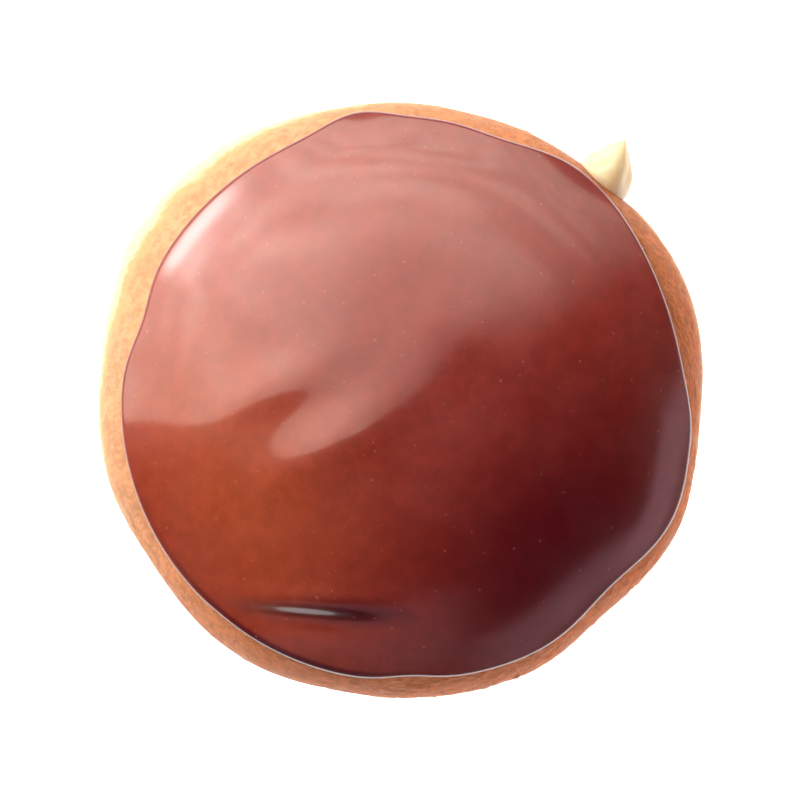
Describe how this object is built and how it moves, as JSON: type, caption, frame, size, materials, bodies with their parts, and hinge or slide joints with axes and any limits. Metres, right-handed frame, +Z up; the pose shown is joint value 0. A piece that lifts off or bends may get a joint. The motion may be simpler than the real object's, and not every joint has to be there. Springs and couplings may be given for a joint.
{
  "type": "filled doughnut",
  "caption": "Round fried yeast doughnut with a poured chocolate icing on its crown and custard filling that shows as a peak at the hole in its side.",
  "frame": {"origin": "on the resting plane, under the middle of the bun", "axes": "+Z up through the crown; +X and +Y level, with the filling hole at 47 degrees from +X towards +Y"},
  "size_m": [0.0872, 0.0858, 0.0421],
  "materials": {
    "fried_dough": "golden-brown fried crust, soft satin, with a pale band at the waist",
    "chocolate_icing": "glossy poured chocolate icing, reddish brown",
    "custard_filling": "thick pale yellow custard, soft gloss"
  },
  "bodies": {
    "root": {"fried_dough": "fried_dough", "chocolate_icing": "chocolate_icing", "custard_filling": "custard_filling"}
  },
  "joints": []
}
